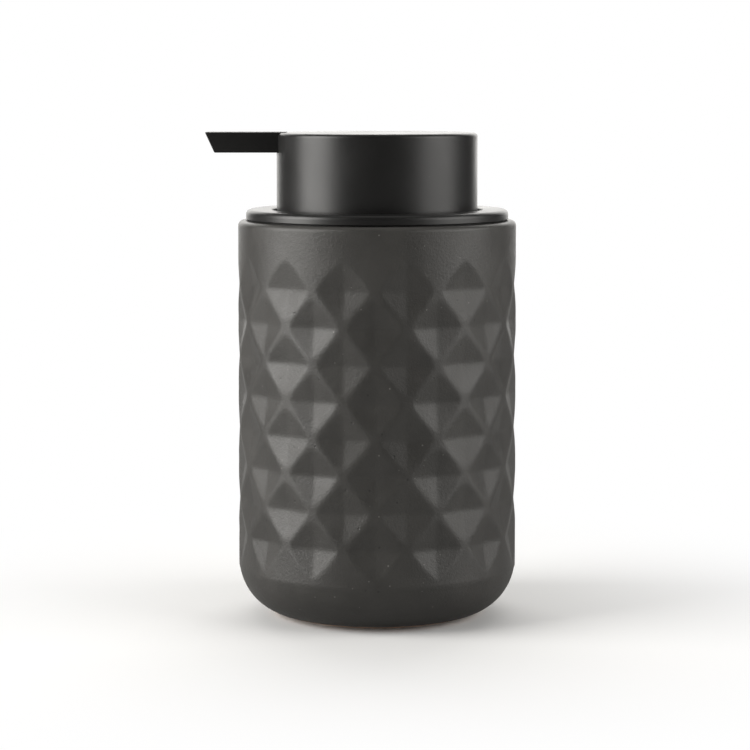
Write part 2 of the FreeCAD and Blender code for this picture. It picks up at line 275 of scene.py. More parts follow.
# ---------------------------------------------------------------- mesh helpers

def rounded(corners, steps=6):
    """Points of an outline through (radius, height) or (radius, height, round) corners.

    A round is an arc of that radius, with a point just before and after it so that the flat
    faces beside it shade flat. The first and last corners of an open outline have no round.
    """
    points = []
    count = len(corners)
    for i, corner in enumerate(corners):
        here = Vector(corner[:2])
        if len(corner) < 3:
            points.append(here)
            continue
        before = (Vector(corners[i - 1][:2]) - here).normalized()
        after = (Vector(corners[(i + 1) % count][:2]) - here).normalized()
        half = before.angle(after) / 2
        length = corner[2] / math.tan(half)
        centre = here + (before + after).normalized() * corner[2] / math.sin(half)
        start = here + before * length
        end = here + after * length
        lead = 0.12 * corner[2]
        points.append(start + before * lead)
        arm = start - centre
        turn = arm.angle_signed(end - centre)
        for step in range(steps + 1):
            angle = turn * step / steps
            points.append(centre + Matrix.Rotation(-angle, 2) @ arm)
        points.append(end + after * lead)
    return points


def spun(points, steps, closed=True, start=0.0):
    """bmesh of an outline of (radius, height) points spun once about Z."""
    bm = bmesh.new()
    across, up = math.cos(start), math.sin(start)
    verts = [bm.verts.new((p[0] * across, p[0] * up, p[1])) for p in points]
    edges = [bm.edges.new(pair) for pair in zip(verts, verts[1:])]
    if closed:
        edges.append(bm.edges.new((verts[-1], verts[0])))
    bmesh.ops.spin(
        bm, geom=verts + edges, cent=(0, 0, 0), axis=(0, 0, 1),
        angle=2 * math.pi, steps=steps, use_merge=True,
    )
    bmesh.ops.remove_doubles(bm, verts=bm.verts, dist=1e-7)
    bmesh.ops.recalc_face_normals(bm, faces=bm.faces)
    return bm


def edge_loop(bm, centre, normal, radius, count):
    """Edges of a new circle in a bmesh."""
    turn = Vector((0, 0, 1)).rotation_difference(Vector(normal)).to_matrix().to_4x4()
    made = bmesh.ops.create_circle(
        bm, cap_ends=False, segments=count, radius=radius, matrix=Matrix.Translation(centre) @ turn,
    )
    ring = set(made["verts"])
    return [e for e in bm.edges if e.verts[0] in ring and e.verts[1] in ring]


def shade(bm, sharp=35.0):
    """Smooth faces, with sharp edges where the surface turns by more than an angle in degrees."""
    for face in bm.faces:
        face.smooth = True
    for edge in bm.edges:
        edge.smooth = edge.calc_face_angle(0.0) < math.radians(sharp)


def piece(name, bm, material, body, slot, *nodes):
    """Turns a bmesh into a finished piece that stands for CAD nodes and rides on a body."""
    shade(bm)
    mesh = bpy.data.meshes.new(name)
    bm.to_mesh(mesh)
    bm.free()
    mesh.materials.append(material)
    made = bpy.data.objects.new(name, mesh)
    bpy.context.scene.collection.objects.link(made)
    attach(made, body)
    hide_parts(*nodes)
    return made


def dress(name, material):
    """Gives a CAD node its material."""
    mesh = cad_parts[name].data
    mesh.materials.clear()
    mesh.materials.append(material)


# ---------------------------------------------------------------- shader node groups

def new_group(name, inputs, outputs):
    """Shader node group with named inputs (name, kind, default) and outputs (name, kind)."""
    tree = bpy.data.node_groups.new(name, "ShaderNodeTree")
    for label, kind, default in inputs:
        socket = tree.interface.new_socket(label, in_out="INPUT", socket_type=kind)
        if default is not None:
            socket.default_value = default
    for label, kind in outputs:
        tree.interface.new_socket(label, in_out="OUTPUT", socket_type=kind)
    entry = tree.nodes.new("NodeGroupInput")
    leave = tree.nodes.new("NodeGroupOutput")
    return tree, entry, leave


def node(tree, kind, **values):
    """New node. Values set its own properties, or its inputs where the name starts with in_."""
    made = tree.nodes.new(kind)
    for key, value in values.items():
        if key.startswith("in_"):
            made.inputs[key[3:].replace("_", " ")].default_value = value
        else:
            setattr(made, key, value)
    return made


def feed(tree, socket, value):
    """Links an output to an input, or sets the input's own value."""
    if isinstance(value, bpy.types.NodeSocket):
        tree.links.new(value, socket)
    else:
        socket.default_value = value


def math_node(tree, operation, *operands):
    """Math node whose operands are sockets or numbers. Returns its output."""
    made = node(tree, "ShaderNodeMath", operation=operation)
    for index, operand in enumerate(operands):
        feed(tree, made.inputs[index], operand)
    return made.outputs[0]


def noise_texture(tree, vector, scale, detail=2.0, roughness=0.5):
    """Noise texture on object coordinates. Returns its Factor output."""
    made = node(tree, "ShaderNodeTexNoise", in_Detail=detail, in_Roughness=roughness)
    tree.links.new(vector, made.inputs["Vector"])
    feed(tree, made.inputs["Scale"], scale)
    return made.outputs["Fac"]


def span(tree, value, from_low, from_high, to_low=0.0, to_high=1.0):
    """Smoothly maps a value from one range to another. Returns the result."""
    made = node(tree, "ShaderNodeMapRange", interpolation_type="SMOOTHSTEP")
    tree.links.new(value, made.inputs["Value"])
    limits = {"From Min": from_low, "From Max": from_high, "To Min": to_low, "To Max": to_high}
    for label, limit in limits.items():
        feed(tree, made.inputs[label], limit)
    return made.outputs["Result"]


def grain_group():
    """Fine moulded or fired grain: a height and a slow mottle."""
    tree, entry, leave = new_group(
        "Surface Grain",
        [("Vector", "NodeSocketVector", None), ("Grain Scale", "NodeSocketFloat", 2500.0),
         ("Mottle Scale", "NodeSocketFloat", 120.0)],
        [("Height", "NodeSocketFloat"), ("Mottle", "NodeSocketFloat")],
    )
    vector = entry.outputs["Vector"]
    fine = noise_texture(tree, vector, entry.outputs["Grain Scale"], detail=5.0, roughness=0.65)
    slow = noise_texture(tree, vector, entry.outputs["Mottle Scale"], detail=4.0, roughness=0.55)
    tree.links.new(fine, leave.inputs["Height"])
    tree.links.new(span(tree, slow, 0.3, 0.7), leave.inputs["Mottle"])
    return tree


def speck_group():
    """Scattered specks: a mask of small spots, most of the cells left empty."""
    tree, entry, leave = new_group(
        "Scattered Specks",
        [("Vector", "NodeSocketVector", None), ("Scale", "NodeSocketFloat", 220.0),
         ("Size", "NodeSocketFloat", 0.10), ("Share", "NodeSocketFloat", 0.2)],
        [("Mask", "NodeSocketFloat")],
    )
    cells = node(tree, "ShaderNodeTexVoronoi", feature="F1")
    tree.links.new(entry.outputs["Vector"], cells.inputs["Vector"])
    tree.links.new(entry.outputs["Scale"], cells.inputs["Scale"])
    chance = node(tree, "ShaderNodeSeparateColor")
    tree.links.new(cells.outputs["Color"], chance.inputs["Color"])
    chosen = math_node(tree, "LESS_THAN", chance.outputs["Red"], entry.outputs["Share"])
    spread = math_node(tree, "MULTIPLY", entry.outputs["Size"], chance.outputs["Green"])
    spot = span(tree, cells.outputs["Distance"], 0.0, spread, 1.0, 0.0)
    tree.links.new(math_node(tree, "MULTIPLY", spot, chosen), leave.inputs["Mask"])
    return tree


def new_material(name, roughness, ior=1.5, **values):
    """Material with a Principled shader. Returns (material, tree, shader, object coordinates)."""
    made = bpy.data.materials.new(name)
    made.use_nodes = True
    tree = made.node_tree
    shader = tree.nodes["Principled BSDF"]
    shader.inputs["Roughness"].default_value = roughness
    shader.inputs["IOR"].default_value = ior
    for key, value in values.items():
        shader.inputs[key.replace("_", " ")].default_value = value
    coordinates = tree.nodes.new("ShaderNodeTexCoord").outputs["Object"]
    return made, tree, shader, coordinates


def place(tree, group, vector, **values):
    """Puts a node group into a material with its own values."""
    made = tree.nodes.new("ShaderNodeGroup")
    made.node_tree = group
    tree.links.new(vector, made.inputs["Vector"])
    for key, value in values.items():
        made.inputs[key.replace("_", " ")].default_value = value
    return made


def shared(name):
    """A shared node group, built the first time it is asked for."""
    makers = {"Surface Grain": grain_group, "Scattered Specks": speck_group}
    return bpy.data.node_groups.get(name) or makers[name]()


def blend_colour(tree, factor, first, second):
    """Mix of two colours, each a socket or an RGB value. Returns the result."""
    made = node(tree, "ShaderNodeMix", data_type="RGBA")
    tree.links.new(factor, made.inputs["Factor"])
    for label, colour in (("A", first), ("B", second)):
        socket = next(s for s in made.inputs if s.name == label and s.type == "RGBA")
        feed(tree, socket, colour if isinstance(colour, bpy.types.NodeSocket) else (*colour, 1.0))
    return next(s for s in made.outputs if s.type == "RGBA")


def bump(tree, shader, height, strength, distance):
    """Adds a height to a shader's normal, over any bump that is already there."""
    made = node(tree, "ShaderNodeBump", in_Strength=strength, in_Distance=distance)
    tree.links.new(height, made.inputs["Height"])
    before = shader.inputs["Normal"].links
    if before:
        tree.links.new(before[0].from_socket, made.inputs["Normal"])
    tree.links.new(made.outputs["Normal"], shader.inputs["Normal"])


def tint(colour, factor):
    """A colour made lighter or darker."""
    return tuple(channel * factor for channel in colour)


# ---------------------------------------------------------------- materials

CLAY_HEIGHT = 1.15 * MM         # least height that the glaze stops at
CLAY_RAGGED = 0.35 * MM         # how far the glaze's lower edge wanders above that
FLOOR_FADE = (0.025, 0.17)      # the floor turns white between these distances from the middle


def glaze_material(settings):
    """Satin dark glaze with pinholes, over clay that is left bare at the foot."""
    made, tree, shader, coordinates = new_material("Satin Dark Glaze", 0.45)
    grain = place(tree, shared("Surface Grain"), coordinates, Grain_Scale=1400.0, Mottle_Scale=90.0)
    pits = place(tree, shared("Scattered Specks"), coordinates, Scale=300.0, Size=0.16, Share=0.60)
    dots = place(tree, shared("Scattered Specks"), coordinates, Scale=430.0, Size=0.15, Share=0.45)
    glaze = tuple(settings.glaze)
    colour = blend_colour(tree, grain.outputs["Mottle"], tint(glaze, 0.88), tint(glaze, 1.12))
    colour = blend_colour(tree, pits.outputs["Mask"], colour, tint(glaze, 0.45))
    colour = blend_colour(tree, dots.outputs["Mask"], colour, tint(glaze, 4.0))
    height = node(tree, "ShaderNodeSeparateXYZ")
    tree.links.new(coordinates, height.inputs[0])
    ragged = noise_texture(tree, coordinates, 300.0, detail=3.0)
    edge = math_node(tree, "MULTIPLY_ADD", ragged, CLAY_RAGGED, CLAY_HEIGHT)
    bare = math_node(tree, "LESS_THAN", height.outputs["Z"], edge)
    clay = tuple(settings.clay)
    clay_colour = blend_colour(tree, grain.outputs["Mottle"], tint(clay, 0.8), tint(clay, 1.15))
    tree.links.new(blend_colour(tree, bare, colour, clay_colour), shader.inputs["Base Color"])
    sheen = span(tree, grain.outputs["Mottle"], 0.0, 1.0, 0.41, 0.49)
    clay_extra = 0.4
    rough = math_node(tree, "MULTIPLY_ADD", bare, clay_extra, sheen)
    tree.links.new(rough, shader.inputs["Roughness"])
    bump(tree, shader, grain.outputs["Height"], strength=1.0, distance=0.085 * MM)
    ripple = noise_texture(tree, coordinates, 210.0)
    bump(tree, shader, ripple, strength=0.35, distance=0.10 * MM)
    hollow = math_node(tree, "SUBTRACT", 1.0, pits.outputs["Mask"])
    bump(tree, shader, hollow, strength=0.6, distance=0.12 * MM)
    return made


def plastic_material(name, colour, roughness, grain_scale=3200.0, grain_depth=0.02 * MM, **values):
    """Moulded plastic with a fine grain, faint flow marks and a little dust."""
    made, tree, shader, coordinates = new_material(name, roughness, **values)
    grains = shared("Surface Grain")
    grain = place(tree, grains, coordinates, Grain_Scale=grain_scale, Mottle_Scale=60.0)
    specks = shared("Scattered Specks")
    dust = place(tree, specks, coordinates, Scale=520.0, Size=0.10, Share=0.05)
    colour = tuple(colour)
    body = blend_colour(tree, grain.outputs["Mottle"], tint(colour, 0.92), tint(colour, 1.06))
    lint = tuple(0.85 * channel + 0.05 for channel in colour)
    tree.links.new(blend_colour(tree, dust.outputs["Mask"], body, lint), shader.inputs["Base Color"])
    rough = span(tree, grain.outputs["Mottle"], 0.0, 1.0, roughness - 0.02, roughness + 0.03)
    tree.links.new(rough, shader.inputs["Roughness"])
    bump(tree, shader, grain.outputs["Height"], strength=0.3, distance=grain_depth)
    return made


def steel_material(colour):
    """Drawn stainless wire with fine marks."""
    made, tree, shader, coordinates = new_material("Stainless Wire", 0.28, Metallic=1.0)
    grain = place(tree, shared("Surface Grain"), coordinates, Grain_Scale=2600.0, Mottle_Scale=400.0)
    colour = tuple(colour)
    body = blend_colour(tree, grain.outputs["Mottle"], tint(colour, 0.85), tint(colour, 1.05))
    tree.links.new(body, shader.inputs["Base Color"])
    rough = span(tree, grain.outputs["Height"], 0.3, 0.7, 0.2, 0.36)
    tree.links.new(rough, shader.inputs["Roughness"])
    bump(tree, shader, grain.outputs["Height"], strength=0.2, distance=0.02 * MM)
    return made


def floor_material():
    """Pale matt floor that fades into the white of the studio away from the dispenser.

    It throws less light back up at the dispenser than it shows to the camera.
    """
    made, tree, shader, coordinates = new_material("Pale Floor", 0.9, ior=1.2)
    mottle = noise_texture(tree, coordinates, 3.0)
    seen = node(tree, "ShaderNodeLightPath").outputs["Is Camera Ray"]
    pale = blend_colour(tree, mottle, (0.90, 0.90, 0.90), (0.92, 0.92, 0.92))
    tree.links.new(blend_colour(tree, seen, (0.40, 0.40, 0.40), pale), shader.inputs["Base Color"])
    away = node(tree, "ShaderNodeVectorMath", operation="LENGTH")
    tree.links.new(coordinates, away.inputs[0])
    far = span(tree, away.outputs["Value"], *FLOOR_FADE)
    fade = math_node(tree, "MULTIPLY", far, seen)
    white = node(tree, "ShaderNodeEmission", in_Strength=1.0)
    mix = tree.nodes.new("ShaderNodeMixShader")
    tree.links.new(fade, mix.inputs[0])
    tree.links.new(shader.outputs[0], mix.inputs[1])
    tree.links.new(white.outputs[0], mix.inputs[2])
    tree.links.new(mix.outputs[0], tree.nodes["Material Output"].inputs["Surface"])
    return made


def black_plastic(context, name="Black Satin Plastic", roughness=0.37, **values):
    """The black moulding's material, shared by the collar and the head."""
    found = bpy.data.materials.get(name)
    return found or plastic_material(name, context.scene.dispenser_pump.black, roughness, **values)


# ---------------------------------------------------------------- bottle

NECK_DEPTH = 15.0 * MM      # straight part of the mouth
NECK_CONE = 3.0 * MM        # height of the step from the mouth to the wider inside
MOUTH_GAP = 0.05 * MM       # the mouth is this much wider than the seal's lips
FOOT_RISE = 0.5 * MM        # height of the foot ring's side
FOOT_RECESS = 0.8 * MM      # depth of the hollow inside the foot ring
VALLEY_SINK = 0.3           # share of the valley softness that the rounded valleys sink by
WAVE_SIZE = 6.0 * MM        # size of the fired facets' waves


def soft_lowest(levels, softness):
    """Lowest of some levels, with the creases between them rounded off."""
    levels = np.array(levels)
    lowest = levels.min(axis=0)
    return lowest - softness * np.log(np.exp((lowest - levels) / softness).sum(axis=0))


def relief_radius(settings, radius, angle, height):
    """Radius of the outer wall with the diamonds hollowed out, for arrays of wall points.

    Each diamond is four flat facets that run from its deep middle to four corners just
    outside the wall. The facets of neighbours meet in soft ridges that the wall cuts flat.
    """
    column = math.pi / settings.diamonds_around
    top = high("bottle") - settings.plain_top
    pitch = (top - settings.plain_foot) / (settings.diamond_rows + 1)
    land = settings.ridge_land
    soft = settings.valley_softness
    across = (angle - settings.pattern_turn) / column
    levels = []
    for row in range(settings.diamond_rows):
        middle = top - (row + 1) * pitch
        wall = wall_radius(middle)
        corner = wall + land
        side_rise = corner * math.cos(column) - wall + settings.diamond_depth
        side_slope = side_rise / (corner * math.sin(column))
        end_slope = (settings.diamond_depth + land) / pitch
        rise = np.hypot(height - middle, soft) - VALLEY_SINK * soft
        facet = wall - settings.diamond_depth + end_slope * rise
        odd = 1 - row % 2
        first = np.floor((across - odd) / 2)
        for step in (0, 1):
            aside = np.hypot((across - odd - 2 * (first + step)) * column, soft / wall)
            levels.append(facet / (np.cos(aside) - side_slope * np.sin(aside)))
    ridges = soft_lowest(levels, settings.ridge_softness)
    return soft_lowest([ridges, radius], settings.ridge_softness / 3)


def wall_radius(height):
    """Radius of the bottle's plain wall at a height."""
    shoulder = bpy.context.scene.dispenser_bottle.shoulder
    top_radius = radii_at("bottle", high("bottle"))[1] + shoulder
    low_radius = reach("bottle")
    return low_radius + (top_radius - low_radius) * height / (high("bottle") - shoulder)


def bottle_outline(settings):
    """Outline of the bottle from the floor inside, over the rim and down to the foot."""
    top = high("bottle")
    mouth = reach("mouth_seal") + MOUTH_GAP
    shoulder = settings.shoulder
    top_radius = radii_at("bottle", top)[1] + shoulder
    foot_inner, foot_outer = radii_at("bottle", 0.0)
    cavity = reach("bottle") - settings.wall
    neck_low = top - NECK_DEPTH
    wall_top = top - 3.0 * MM
    inside = rounded([
        (0.0, settings.floor),
        (cavity, settings.floor, 12.0 * MM),
        (top_radius - settings.wall, neck_low - NECK_CONE, 1.5 * MM),
        (mouth, neck_low, 1.5 * MM),
        (mouth, top, 0.7 * MM),
        (top_radius, top, shoulder),
        (wall_radius(wall_top), wall_top),
    ])
    relief_top = top - settings.plain_top
    above_relief = 2.4 * MM
    rows = settings.cell_steps * (settings.diamond_rows + 1)
    heights = np.linspace(relief_top + above_relief, settings.plain_foot, rows + 4)
    outside = [Vector((wall_radius(z), z)) for z in heights]
    rise = settings.corner_rise
    start = (settings.plain_foot - FOOT_RISE - rise) / rise
    first = math.asin(max(start, -1)) if start < 0 else 0.0
    corner_steps = 24
    for step in range(1, corner_steps + 1):
        turn = first + (-math.pi / 2 - first) * step / corner_steps
        radius = foot_outer + (reach("bottle") - foot_outer) * math.cos(turn)
        outside.append(Vector((radius, FOOT_RISE + rise + rise * math.sin(turn))))
    foot = rounded([
        (foot_outer, FOOT_RISE),
        (foot_outer, 0.0, 0.2 * MM),
        (foot_inner, 0.0, 0.3 * MM),
        (foot_inner - 0.5 * MM, FOOT_RECESS, 0.3 * MM),
        (0.0, FOOT_RECESS),
    ], steps=3)
    return inside + outside + foot[1:]


def on_relief_band(settings, place_at):
    """Whether a point is on the outer wall, between the foot and the rounded shoulder."""
    height = place_at.z
    if not 4.0 * MM < height < high("bottle") - 3.5 * MM:
        return False
    on_corner = height <= FOOT_RISE + settings.corner_rise
    inset = 2.5 * MM if on_corner else 0.1 * MM
    return place_at.xy.length > wall_radius(height) - inset


class DISPENSER_OT_bottle(bpy.types.Operator):
    """Make the ceramic bottle with its relief of hollow diamonds"""
    bl_idname = "dispenser.bottle"
    bl_label = "Ceramic Bottle"

    def execute(self, context):
        settings = context.scene.dispenser_bottle
        points = bottle_outline(settings)
        steps = 2 * settings.diamonds_around * settings.cell_steps
        bm = spun(points, steps, closed=False, start=settings.pattern_turn - math.pi / 2)
        band = [v for v in bm.verts if on_relief_band(settings, v.co)]
        places = np.array([v.co for v in band])
        radius = np.hypot(places[:, 0], places[:, 1])
        angle = np.arctan2(places[:, 0], -places[:, 1])
        hollowed = relief_radius(settings, radius, angle, places[:, 2])
        for vert, before, after in zip(band, radius, hollowed):
            stray = settings.waviness * noise.noise(vert.co / WAVE_SIZE)
            scale = min(after + stray, before) / before
            vert.co.x *= scale
            vert.co.y *= scale
        piece("ceramic_bottle", bm, glaze_material(settings), "bottle", "stoneware", "bottle")
        return {"FINISHED"}


# ---------------------------------------------------------------- collar and seals

COLLAR_WALL = 1.5 * MM      # wall of the collar's well
LIP_HEIGHT = 1.0 * MM       # height of one lip of the mouth seal
LIPS = 3                    # lips of the mouth seal


class DISPENSER_OT_collar(bpy.types.Operator):
    """Make the flanged collar with the well that the head sinks into"""
    bl_idname = "dispenser.collar"
    bl_label = "Collar"

    def execute(self, context):
        top, bottom = high("collar"), low("collar")
        under = high("flange_gasket")
        well_chamfer = 0.5 * MM
        well = radii_at("collar", top)[0] - well_chamfer
        outside = well + COLLAR_WALL
        floor_top = low("housing_gasket")
        hole = radii_at("collar", bottom)[0]
        seal_foot = low("mouth_seal")
        flange = reach("collar")
        ledge = 0.5 * MM
        points = rounded([
            (hole, bottom, 0.15 * MM),
            (outside, bottom, 1.0 * MM),
            (outside, seal_foot - 2 * ledge),
            (outside + ledge, seal_foot - ledge),
            (outside + ledge, seal_foot),
            (outside, seal_foot),
            (outside, under, 0.15 * MM),
            (flange, under, 0.3 * MM),
            (flange, top, 1.3 * MM),
            (well, top, 0.45 * MM),
            (well, floor_top, 1.0 * MM),
            (hole, floor_top, 0.15 * MM),
        ], steps=8)
        black = black_plastic(context)
        piece("pump_collar", spun(points, 256), black, "pump", "black_satin", "collar")
        return {"FINISHED"}


class DISPENSER_OT_seals(bpy.types.Operator):
    """Make the silicone ring under the flange and the lipped sleeve in the bottle's mouth"""
    bl_idname = "dispenser.seals"
    bl_label = "Seals"

    def execute(self, context):
        rubber = plastic_material(
            "Black Silicone", context.scene.dispenser_pump.rubber, 0.6, 1800.0, 0.03 * MM,
        )
        gasket = "flange_gasket"
        inner, outer = radii_at(gasket, low(gasket))
        edge = 0.07 * MM
        points = rounded([
            (inner, low(gasket), edge),
            (outer, low(gasket), edge),
            (outer, high(gasket), edge),
            (inner, high(gasket), edge),
        ], steps=3)
        piece("flange_ring", spun(points, 256), rubber, "pump", "black_rubber", gasket)
        seal = "mouth_seal"
        foot, top = low(seal), high(seal)
        inner, sleeve = radii_at(seal, foot)
        lip = reach(seal)
        pitch = (top - foot - LIP_HEIGHT) / (LIPS - 1)
        corners = [(inner, foot)]
        for i in range(LIPS):
            start = foot + i * pitch
            corners += [
                (sleeve, start, 0.12 * MM),
                (lip, start + 0.3 * LIP_HEIGHT, 0.15 * MM),
                (lip, start + 0.7 * LIP_HEIGHT, 0.15 * MM),
                (sleeve, start + LIP_HEIGHT, 0.12 * MM),
            ]
        corners.append((inner, top))
        bm = spun(rounded(corners, steps=3), 256)
        piece("mouth_sleeve", bm, rubber, "pump", "black_rubber", seal)
        return {"FINISHED"}


# ---------------------------------------------------------------- head and spout

HEAD_DRAFT = 0.03 * MM      # the head is this much wider at its foot
SPOUT_SLANT = 2.5 * MM      # how far the tip's top stands out past its foot
SPOUT_STEP = 1.6 * MM       # how far the spout's root lies below its top
SPOUT_EDGE = 0.3 * MM       # round of the spout's edges


def notch_lines():
    """Half width, foot and inner end of the notch that the cap has for the spout."""
    spout_low, spout_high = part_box("spout")
    points = [v.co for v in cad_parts["spout"].data.vertices]
    inner = max(p.x for p in points if p.z > spout_high.z - 0.4 * MM)
    half = max(p.y for p in points if p.x < -reach("head_cap") - 2 * MM)
    return half, spout_low.z, inner


class DISPENSER_OT_press_head(bpy.types.Operator):
    """Make the drum-shaped head that is pressed down"""
    bl_idname = "dispenser.press_head"
    bl_label = "Press Head"

    def execute(self, context):
        settings = context.scene.dispenser_pump
        top, bottom = high("head_cap"), low("head_cap")
        radius = reach("head_cap")
        points = rounded([
            (0.0, top),
            (radius - HEAD_DRAFT, top, 1.0 * MM),
            (radius, bottom),
        ], steps=8)
        bm = spun(points, 256, closed=False)
        half, foot, inner = notch_lines()
        gap = settings.spout_gap
        half += gap
        cuts = [((0, half, 0), (0, 1, 0)), ((0, -half, 0), (0, 1, 0))]
        cuts += [((0, 0, foot - gap), (0, 0, 1)), ((inner + gap, 0, 0), (1, 0, 0))]
        for place_at, normal in cuts:
            near = [f for f in bm.faces if min(v.co.x for v in f.verts) < -0.6 * radius]
            edges = dict.fromkeys(e for f in near for e in f.edges)
            verts = dict.fromkeys(v for f in near for v in f.verts)
            parts = [*near, *edges, *verts]
            bmesh.ops.bisect_plane(bm, geom=parts, plane_co=place_at, plane_no=normal)
        inside = []
        for face in bm.faces:
            centre = face.calc_center_median()
            if abs(centre.y) < half and centre.x < inner + gap and centre.z > foot - gap:
                inside.append(face)
        bmesh.ops.delete(bm, geom=inside, context="FACES")
        bmesh.ops.recalc_face_normals(bm, faces=bm.faces)
        bmesh.ops.solidify(bm, geom=bm.faces, thickness=settings.cap_wall)
        bmesh.ops.recalc_face_normals(bm, faces=bm.faces)
        piece("press_head", bm, black_plastic(context), "head", "black_satin", "head_cap")
        return {"FINISHED"}


def open_bore(bm, face, height, radius, other_bore):
    """Cuts a round hole into a spout's end face. Returns the edges of its rim."""
    normal = face.normal.copy()
    centre = face.calc_center_median()
    outline = list(face.edges)
    bmesh.ops.delete(bm, geom=[face], context="FACES_ONLY")
    bmesh.ops.subdivide_edges(bm, edges=outline, cuts=7)
    open_edges = [e for e in bm.edges if len(e.link_faces) == 1]
    outline = [e for e in open_edges if e not in other_bore]
    middle = Vector((centre.x - normal.z * (height - centre.z) / normal.x, 0, height))
    circle = edge_loop(bm, middle, normal, radius, len(outline))
    for vert in {v for e in circle for v in e.verts}:
        away = vert.co - centre
        vert.co.x = centre.x - (normal.z * away.z + normal.y * away.y) / normal.x
    bmesh.ops.bridge_loops(bm, edges=outline + circle)
    return circle


class DISPENSER_OT_spout(bpy.types.Operator):
    """Make the flat spout with its slanted tip and outlet"""
    bl_idname = "dispenser.spout"
    bl_label = "Spout"

    def execute(self, context):
        spout_low, spout_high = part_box("spout")
        half, foot, inner = notch_lines()
        tube_low, tube_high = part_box("delivery_tube")
        channel = (tube_low.z + tube_high.z) / 2
        bore = (tube_high.z - tube_low.z) / 2 + 0.02 * MM
        root = spout_high.x
        tip = spout_low.x + 0.05 * MM
        top = spout_high.z
        bm = bmesh.new()
        bmesh.ops.create_cube(bm, size=1.0)
        slant = SPOUT_SLANT / (top - foot)
        for vert in bm.verts:
            vert.co.z = top if vert.co.z > 0 else foot
            vert.co.y = half if vert.co.y > 0 else -half
            vert.co.x = root if vert.co.x > 0 else tip + slant * (top - vert.co.z)
        # A short ramp joins the flat top to the lower root inside the cap.
        step = 0.05 * MM
        for cut in (inner, inner + step):
            parts = [*bm.verts, *bm.edges, *bm.faces]
            bmesh.ops.bisect_plane(bm, geom=parts, plane_co=(cut, 0, 0), plane_no=(1, 0, 0))
        for vert in bm.verts:
            if vert.co.x > inner + step / 2 and vert.co.z > channel:
                vert.co.z = top - SPOUT_STEP
        outer = [e for e in bm.edges if max(v.co.x for v in e.verts) < inner + step / 2]
        outer = [e for e in outer if e.calc_face_angle(0.0) > math.radians(20)]
        bmesh.ops.bevel(
            bm, geom=outer, offset=SPOUT_EDGE, segments=4, profile=0.5,
            affect="EDGES", material=-1, clamp_overlap=True,
        )
        tip_faces = [f for f in bm.faces if f.normal.x < -0.8]
        tip_face = max(tip_faces, key=lambda f: f.calc_area())
        root_face = max(bm.faces, key=lambda f: f.calc_center_median().x)
        bores = []
        for face in (tip_face, root_face):
            bores += open_bore(bm, face, channel, bore, bores)
        bmesh.ops.bridge_loops(bm, edges=bores)
        bmesh.ops.recalc_face_normals(bm, faces=bm.faces)
        black = black_plastic(context, "Black Spout Plastic", 0.42, Specular_IOR_Level=0.3)
        piece("flat_spout", bm, black, "head", "black_spout", "spout")
        return {"FINISHED"}


# ---------------------------------------------------------------- pump pieces

BARREL_WALL = 1.2 * MM      # wall of the pump's barrel
NUT_NECK = 8.5 * MM         # length of the neck that the nut sits on
VALVE_THROAT = 1.6 * MM     # radius of the hole under the inlet ball
VALVE_GAP = 0.6 * MM        # room around the inlet ball
TUBE_SLANT = 2.0 * MM       # rise of the cut at the dip tube's foot
SPRING_WIRE = 0.44 * MM     # radius of the wire


class DISPENSER_OT_pump_tubes(bpy.types.Operator):
    """Make the pump's barrel and its dip tube"""
    bl_idname = "dispenser.pump_tubes"
    bl_label = "Barrel and Dip Tube"

    def execute(self, context):
        natural = context.scene.dispenser_pump.natural
        milky = plastic_material(
            "Milky Polypropylene", natural, 0.32, 900.0, 0.02 * MM,
            ior=1.45, Transmission_Weight=0.55,
        )
        top, bottom = high("pump_housing"), low("pump_housing")
        flange = reach("pump_housing")
        bore = reach("ball_retainer")
        flange_low = high("housing_gasket")
        neck = radii_at("housing_gasket", flange_low)[0]
        barrel = bore + BARREL_WALL
        cone_top = low("ball_retainer")
        socket_inner, socket_outer = radii_at("pump_housing", bottom)
        cone_low = cone_top - (barrel - socket_outer)
        seat = low("inlet_ball")
        socket_top = high("dip_tube")
        chamber = reach("inlet_ball") + VALVE_GAP
        neck_low = flange_low - NUT_NECK
        points = rounded([
            (bore, top),
            (flange, top, 0.4 * MM),
            (flange, flange_low, 0.2 * MM),
            (neck, flange_low, 0.2 * MM),
            (neck, neck_low, 0.3 * MM),
            (barrel, neck_low, 0.3 * MM),
            (barrel, cone_top, 0.6 * MM),
            (socket_outer, cone_low, 0.6 * MM),
            (socket_outer, bottom, 0.3 * MM),
            (socket_inner, bottom, 0.2 * MM),
            (socket_inner, socket_top),
            (VALVE_THROAT, socket_top),
            (VALVE_THROAT, seat),
            (chamber, seat + chamber - VALVE_THROAT),
            (chamber, cone_top),
            (bore, cone_top),
        ], steps=5)
        piece("pump_barrel", spun(points, 128), milky, "pump", "natural_plastic", "pump_housing")
        tube_top, tube_low = high("dip_tube"), low("dip_tube")
        inner, outer = radii_at("dip_tube", tube_top)
        straight = tube_top - tube_low - TUBE_SLANT
        heights = [tube_top - i * straight / 6 for i in range(7)]
        points = [Vector((outer, z)) for z in (*heights, tube_low)]
        points += [Vector((inner, z)) for z in (tube_low, *reversed(heights))]
        bm = spun(points, 64)
        for vert in bm.verts:
            if vert.co.z < tube_low + 0.5 * TUBE_SLANT:
                vert.co.z += TUBE_SLANT * (vert.co.x + outer) / (2 * outer)
        piece("dip_pipe", bm, milky, "pump", "natural_tube", "dip_tube")
        return {"FINISHED"}


